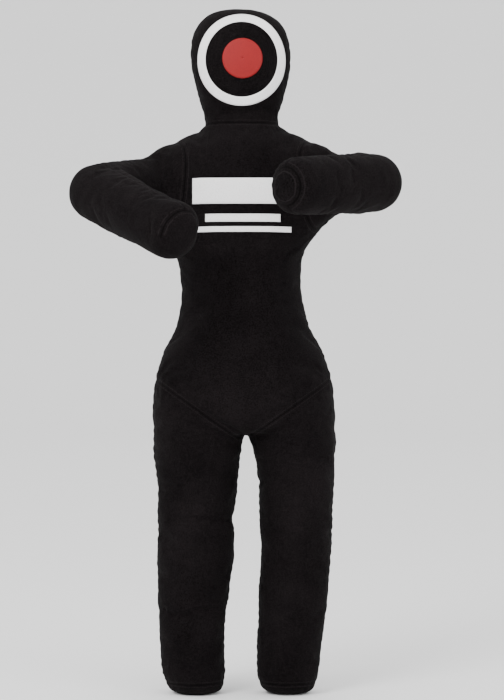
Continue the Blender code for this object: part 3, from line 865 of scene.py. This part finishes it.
def canvas_material(name, dark, light, bump=0.5, stitched=False):
    """Matt cotton canvas: a plain weave, fading in patches, and a little lint."""
    made, nodes, links, shader = new_material(name)
    place = nodes.new("ShaderNodeTexCoord").outputs["Object"]
    fade = node(nodes, "ShaderNodeTexNoise", Scale=5.5, Detail=5.0, Roughness=0.62)
    grain = node(nodes, "ShaderNodeTexNoise", Scale=330.0, Detail=3.0, Roughness=0.75)
    for texture in (fade, grain):
        links.new(place, texture.inputs["Vector"])
    both = sum_of(nodes, links, (grain.outputs["Fac"], 1.0), (fade.outputs["Fac"], 0.45))
    ramp = nodes.new("ShaderNodeValToRGB")
    ramp.color_ramp.elements[0].position = 0.56
    ramp.color_ramp.elements[0].color = dark + (1.0,)
    ramp.color_ramp.elements[1].position = 0.94
    ramp.color_ramp.elements[1].color = light + (1.0,)
    links.new(both, ramp.inputs["Fac"])
    colour = ramp.outputs["Color"]
    height = weave_height(nodes, links, place, grain)
    if stitched:
        colour, height = with_seams(nodes, links, colour, height, light)
    links.new(colour, shader.inputs["Base Color"])
    raised = node(nodes, "ShaderNodeBump", Strength=bump, Distance=0.0005)
    links.new(height, raised.inputs["Height"])
    links.new(raised.outputs["Normal"], shader.inputs["Normal"])
    shader.inputs["Roughness"].default_value = 0.9
    shader.inputs["Specular IOR Level"].default_value = 0.03
    shader.inputs["Sheen Weight"].default_value = 0.012
    shader.inputs["Sheen Roughness"].default_value = 0.5
    shader.inputs["Sheen Tint"].default_value = (0.9, 0.85, 0.86, 1.0)
    return made


def sum_of(nodes, links, *terms):
    """The sum of (socket, factor) pairs."""
    total = None
    for socket, factor in terms:
        step = node(nodes, "ShaderNodeMath", operation="MULTIPLY_ADD")
        links.new(socket, step.inputs[0])
        step.inputs[1].default_value = factor
        if total is None:
            step.inputs[2].default_value = 0.0
        else:
            links.new(total, step.inputs[2])
        total = step.outputs[0]
    return total


def maths(nodes, links, operation, first, second=None):
    step = node(nodes, "ShaderNodeMath", operation=operation)
    for number, value in enumerate((first, second)):
        if isinstance(value, (int, float)):
            step.inputs[number].default_value = value
        elif value is not None:
            links.new(value, step.inputs[number])
    return step.outputs[0]


def with_seams(nodes, links, colour, height, thread):
    """A shut seam with painted shade: its groove is coloured near black for the shadow in it. A row
    of thread stitches runs along each side of it.
    """
    off = node(nodes, "ShaderNodeAttribute", attribute_name="seam_off").outputs["Fac"]
    run = node(nodes, "ShaderNodeAttribute", attribute_name="seam_run").outputs["Fac"]
    away = maths(nodes, links, "ABSOLUTE", off)
    groove = maths(nodes, links, "LESS_THAN", away, SEAM_GAP)
    from_row = maths(nodes, links, "ABSOLUTE", maths(nodes, links, "SUBTRACT", away, STITCH_OFF))
    in_row = maths(nodes, links, "LESS_THAN", from_row, THREAD_REACH)
    phase = maths(nodes, links, "FRACT", maths(nodes, links, "DIVIDE", run, STITCH_LENGTH))
    in_stitch = maths(nodes, links, "LESS_THAN", phase, STITCH_SHARE)
    dash = maths(nodes, links, "MULTIPLY", in_row, in_stitch)
    threaded = node(nodes, "ShaderNodeMix", data_type="RGBA")
    links.new(dash, threaded.inputs["Factor"])
    links.new(colour, threaded.inputs[6])
    threaded.inputs[7].default_value = tuple(1.35 * part for part in thread) + (1.0,)
    # Painted shade: the seam's groove gets a near-black colour that stands in for the shadow inside
    # it
    groove_shade = node(nodes, "ShaderNodeMix", data_type="RGBA")
    links.new(groove, groove_shade.inputs["Factor"])
    links.new(threaded.outputs[2], groove_shade.inputs[6])
    groove_shade.inputs[7].default_value = (0.0016, 0.0012, 0.0013, 1.0)
    raised = sum_of(nodes, links, (height, 1.0), (dash, 2.0), (groove, -3.0))
    return groove_shade.outputs[2], raised


def weave_height(nodes, links, place, grain):
    """Threads both ways, about 1 mm apart, and their unevenness."""
    terms = []
    for direction in ("X", "Y", "Z"):
        wave = node(nodes, "ShaderNodeTexWave", Scale=150.0, Distortion=1.2, Detail=1.0)
        wave.bands_direction = direction
        links.new(place, wave.inputs["Vector"])
        terms.append((wave.outputs["Fac"], 1.0))
    return sum_of(nodes, links, *terms, (grain.outputs["Fac"], 2.5))


def print_material(name, colour, worn):
    """Screen print: the canvas grain shows through a thin flat ink."""
    made, nodes, links, shader = new_material(name)
    place = nodes.new("ShaderNodeTexCoord").outputs["Object"]
    grain = node(nodes, "ShaderNodeTexNoise", Scale=420.0, Detail=3.0, Roughness=0.65)
    links.new(place, grain.inputs["Vector"])
    ramp = nodes.new("ShaderNodeValToRGB")
    ramp.color_ramp.elements[0].position = 0.30
    ramp.color_ramp.elements[0].color = worn + (1.0,)
    ramp.color_ramp.elements[1].position = 0.50
    ramp.color_ramp.elements[1].color = colour + (1.0,)
    links.new(grain.outputs["Fac"], ramp.inputs["Fac"])
    links.new(ramp.outputs["Color"], shader.inputs["Base Color"])
    height = node(nodes, "ShaderNodeBump", Strength=0.3, Distance=0.0003)
    links.new(grain.outputs["Fac"], height.inputs["Height"])
    links.new(height.outputs["Normal"], shader.inputs["Normal"])
    shader.inputs["Roughness"].default_value = 0.62
    shader.inputs["Specular IOR Level"].default_value = 0.35
    return made


def metal_material(name, colour):
    made, nodes, links, shader = new_material(name)
    place = nodes.new("ShaderNodeTexCoord").outputs["Object"]
    wear = node(nodes, "ShaderNodeTexNoise", Scale=380.0, Detail=4.0, Roughness=0.6)
    links.new(place, wear.inputs["Vector"])
    ramp = nodes.new("ShaderNodeValToRGB")
    ramp.color_ramp.elements[0].color = (0.24, 0.24, 0.24, 1.0)
    ramp.color_ramp.elements[1].color = (0.46, 0.46, 0.46, 1.0)
    links.new(wear.outputs["Fac"], ramp.inputs["Fac"])
    links.new(ramp.outputs["Color"], shader.inputs["Roughness"])
    shader.inputs["Base Color"].default_value = colour + (1.0,)
    shader.inputs["Metallic"].default_value = 1.0
    return made


# Prints: thin patches laid on the skin


def skin_tree(skin):
    return BVHTree.FromObject(skin, bpy.context.evaluated_depsgraph_get())


def laid_on(name, grid, tree, material, body):
    """Drops a flat grid, given as rows of (x, z), back onto the skin and gives it its thickness."""
    work = bmesh.new()
    rows = []
    for row in grid:
        line = []
        for x, z in row:
            start = Vector((x, AXIS.y - PRINT_START, z))
            hit = tree.ray_cast(start, DEEP)
            point = hit[0] + hit[1] * PRINT_LIFT
            line.append(work.verts.new(point))
        rows.append(line)
    closed = len(grid[0]) > 8 and grid[0][0] == grid[0][-1]
    if closed:
        for line in rows:
            work.verts.remove(line.pop())
    count = len(rows[0])
    for first, second in zip(rows, rows[1:]):
        for step in range(count if closed else count - 1):
            after = (step + 1) % count
            work.faces.new((first[step], second[step], second[after], first[after]))
    mesh = bpy.data.meshes.new(name)
    work.to_mesh(mesh)
    work.free()
    obj = bpy.data.objects.new(name, mesh)
    bpy.context.scene.collection.objects.link(obj)
    outward_faces(obj)
    thick = obj.modifiers.new("thickness", "SOLIDIFY")
    thick.thickness = PRINT_THICKNESS
    thick.offset = -1.0
    applied(obj)
    obj.data.shade_smooth()
    obj.data.materials.clear()
    obj.data.materials.append(material)
    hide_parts(name.removeprefix("inked_"))
    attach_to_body(obj, body)
    return obj


def outward_faces(obj):
    """Turns a sheet that lies in front of the figure so that it faces forward."""
    total = sum((polygon.normal * polygon.area for polygon in obj.data.polygons), Vector())
    if total.y > 0:
        obj.data.flip_normals()


def ring_grid(centre, outer, inner, rings):
    rows = []
    for step in range(rings + 1):
        part = step / rings
        wide = outer[0] + (inner[0] - outer[0]) * part
        tall = outer[1] + (inner[1] - outer[1]) * part
        row = []
        for turn in range(96):
            angle = 2 * math.pi * turn / 96
            row.append((centre[0] + wide * math.cos(angle), centre[1] + tall * math.sin(angle)))
        row.append(row[0])
        rows.append(row)
    return rows


def bar_grid(low, high, half_width):
    columns = 60
    rows = max(3, int((high - low) / 0.004))
    grid = []
    for step in range(rows + 1):
        z = low + (high - low) * step / rows
        line = []
        for column in range(columns + 1):
            line.append((AXIS.x + half_width * (2 * column / columns - 1), z))
        grid.append(line)
    return grid


def add_prints(whole, white, red):
    centre = (AXIS.x + TARGET_SHIFT, TARGET.z)
    ring = ring_grid(centre, RING_OUTER, RING_INNER, 6)
    laid_on("inked_target_ring", ring, whole, white, "head")
    middle = (centre[0] + SPOT_SHIFT[0], centre[1] + SPOT_SHIFT[1])
    spot = ring_grid(middle, (SPOT_RADIUS,) * 2, (0.0004,) * 2, 12)
    laid_on("inked_target_spot", spot, whole, red, "head")
    for name in ("print_bar_top", "print_bar_middle", "print_bar_low"):
        low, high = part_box(name)
        half_width = (high[0] - low[0]) / 2
        grid = bar_grid(low[2], high[2], half_width)
        laid_on("inked_" + name, grid, whole, white, "chest")


# Zip


def add_box(work, centre, size, slant):
    matrix = Matrix.Translation(centre) @ Matrix.Rotation(slant, 4, "X")
    made = bmesh.ops.create_cube(work, size=1.0, matrix=matrix @ Matrix.Diagonal((*size, 1.0)))
    edges = list({edge for vertex in made["verts"] for edge in vertex.link_edges})
    bmesh.ops.bevel(work, geom=edges, offset=min(size) * 0.22, segments=1, affect="EDGES")


def zip_teeth(metal):
    """Two rows of teeth that mesh, from stop to stop, in place of the plain chain."""
    low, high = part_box("zip_chain")
    bottom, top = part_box("zip_bottom_stop"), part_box("zip_top_stop")
    slope = (top[0].y - bottom[0].y) / (top[0].z - bottom[0].z)
    slant = -math.atan(slope)
    work = bmesh.new()
    count = int((high.z - low.z) / TOOTH_PITCH)
    for number in range(2 * count):
        z = low.z + TOOTH_PITCH * (number + 1) / 2
        y = bottom[0].y + slope * (z - bottom[0].z) + TOOTH_LIFT
        sign = 1 if number % 2 else -1
        centre = Vector((AXIS.x + sign * TOOTH_OFF, y, z))
        add_box(work, centre, TOOTH_SIZE, slant)
    mesh = bpy.data.meshes.new("zip_teeth")
    work.to_mesh(mesh)
    work.free()
    obj = bpy.data.objects.new("zip_teeth", mesh)
    bpy.context.scene.collection.objects.link(obj)
    obj.data.materials.append(metal)
    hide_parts("zip_chain")
    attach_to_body(obj, "chest")


# Floor, light and camera


FLOOR_RADIUS = 14.0
COVE_RADIUS = 4.0
WALL_TOP = 7.0
FLOOR_TURNS = 96
FLOOR_DROP = 0.0005
WORLD_LIGHT = 1.7
# Name, place, aim, size, power
LIGHTS = (
    ("key", (-2.4, -3.4, 3.6), (0.0, 0.1, 0.9), 2.2, 190.0),
    ("fill", (3.2, -3.0, 1.8), (0.0, 0.1, 0.8), 2.6, 60.0),
)
CAMERA_DISTANCE = 4.6
# The height of the view at the figure, and the middle of it as across and up
VIEW_HEIGHT = 1.567
VIEW_MIDDLE = (0.020, 0.761)


def cove_profile():
    """Distance out and height: a flat floor, a quarter turn up, and a wall."""
    profile = [(FLOOR_RADIUS, 0.0)]
    for step in range(1, 13):
        angle = math.pi / 2 * step / 12
        out = FLOOR_RADIUS + COVE_RADIUS * math.sin(angle)
        profile.append((out, COVE_RADIUS * (1 - math.cos(angle))))
    profile.append((FLOOR_RADIUS + COVE_RADIUS, WALL_TOP))
    return profile


def add_stage():
    """A round studio cove, with no horizon from any side."""
    work = bmesh.new()
    rings = []
    for out, height in cove_profile():
        ring = []
        for turn in range(FLOOR_TURNS):
            angle = 2 * math.pi * turn / FLOOR_TURNS
            place = (out * math.cos(angle), out * math.sin(angle), height - FLOOR_DROP)
            ring.append(work.verts.new(place))
        rings.append(ring)
    work.faces.new(rings[0])
    for low, high in zip(rings, rings[1:]):
        for turn in range(FLOOR_TURNS):
            after = (turn + 1) % FLOOR_TURNS
            work.faces.new((low[turn], high[turn], high[after], low[after]))
    mesh = bpy.data.meshes.new("floor")
    work.to_mesh(mesh)
    work.free()
    mesh.shade_smooth()
    floor = bpy.data.objects.new("floor", mesh)
    bpy.context.scene.collection.objects.link(floor)
    made, _, _, shader = new_material("pale_floor")
    shader.inputs["Base Color"].default_value = (0.86, 0.86, 0.86, 1.0)
    shader.inputs["Roughness"].default_value = 0.9
    floor.data.materials.append(made)
    world = bpy.data.worlds.new("studio")
    bpy.context.scene.world = world
    world.use_nodes = True
    background = world.node_tree.nodes["Background"]
    background.inputs["Color"].default_value = (1.0, 1.0, 1.0, 1.0)
    background.inputs["Strength"].default_value = WORLD_LIGHT


def add_light(name, place, aim, size, power):
    data = bpy.data.lights.new(name, "AREA")
    data.shape = "DISK"
    data.size = size
    data.energy = power
    obj = bpy.data.objects.new(name, data)
    obj.location = place
    obj.rotation_euler = (Vector(aim) - Vector(place)).to_track_quat("-Z", "Y").to_euler()
    bpy.context.scene.collection.objects.link(obj)


def add_camera():
    data = bpy.data.cameras.new("camera")
    data.sensor_fit = "AUTO"
    data.sensor_width = 36.0
    data.lens = 36.0 * CAMERA_DISTANCE / VIEW_HEIGHT
    obj = bpy.data.objects.new("camera", data)
    obj.location = (AXIS.x + VIEW_MIDDLE[0], AXIS.y - CAMERA_DISTANCE, VIEW_MIDDLE[1])
    obj.rotation_euler = (math.radians(90.0), 0.0, 0.0)
    bpy.context.scene.collection.objects.link(obj)
    bpy.context.scene.camera = obj


def main():
    add_camera()
    skin = sewn(remeshed(grown_body()))
    whole = skin_tree(skin)
    pieces = split_skin(skin)
    canvas = canvas_material(
        "black_canvas", (0.0010, 0.0007, 0.0008), (0.0098, 0.0080, 0.0084), stitched=True
    )
    for obj in pieces.values():
        mark_seams(obj.data)
        obj.data.materials.append(canvas)
    attach(pieces)
    white = print_material("white_ink", (0.90, 0.89, 0.89), (0.74, 0.73, 0.73))
    red = print_material("red_ink", (0.225, 0.0003, 0.0012), (0.175, 0.0003, 0.0010))
    add_prints(whole, white, red)
    tape = canvas_material("zip_tape_cloth", (0.0035, 0.0032, 0.0034), (0.0130, 0.0125, 0.0130))
    metal = metal_material("zip_metal", (0.46, 0.45, 0.43))
    for name, obj in frame["nodes"].items():
        if name.startswith("zip_"):
            obj.data.materials.clear()
            obj.data.materials.append(tape if "tape" in name else metal)
    zip_teeth(metal)
    add_stage()
    for light in LIGHTS:
        add_light(*light)


main()
